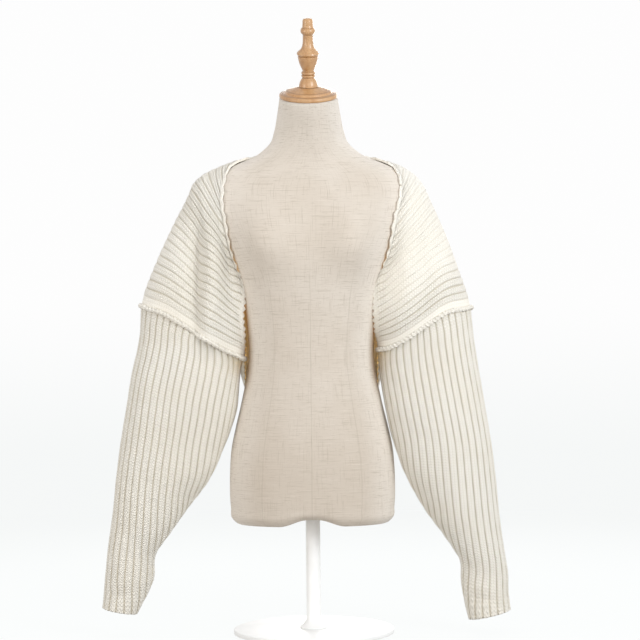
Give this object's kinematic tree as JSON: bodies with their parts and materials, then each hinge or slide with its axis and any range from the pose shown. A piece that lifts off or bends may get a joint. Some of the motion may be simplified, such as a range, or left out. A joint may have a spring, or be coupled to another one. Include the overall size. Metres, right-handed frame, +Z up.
{
  "type": "cropped knit shrug on a limbless dress form",
  "caption": "Cropped rib-knit shrug with long tapering sleeves, draped open over a limbless linen-covered dress form with a turned wooden cap and finial on a round stand.",
  "frame": {"origin": "on the surface that the stand rests on, under the middle of its base", "axes": "+Z up along the form, -Y out of the garment's front, +X towards the wearer's left"},
  "size_m": [0.7095, 0.28, 1.0659],
  "materials": {
    "rib_knit": "matt cream wool rib knit",
    "linen_cover": "matt beige linen",
    "wood": "oiled honey beech",
    "pale_paint": "satin off-white"
  },
  "bodies": {
    "root": {"body_panel": "rib_knit", "sleeve_right": "rib_knit", "sleeve_left": "rib_knit", "seam_roll_right": "rib_knit", "seam_roll_left": "rib_knit", "form_torso": "linen_cover", "neck_cap": "wood", "finial": "wood", "stand_pole": "pale_paint", "stand_base": "pale_paint"}
  },
  "joints": []
}
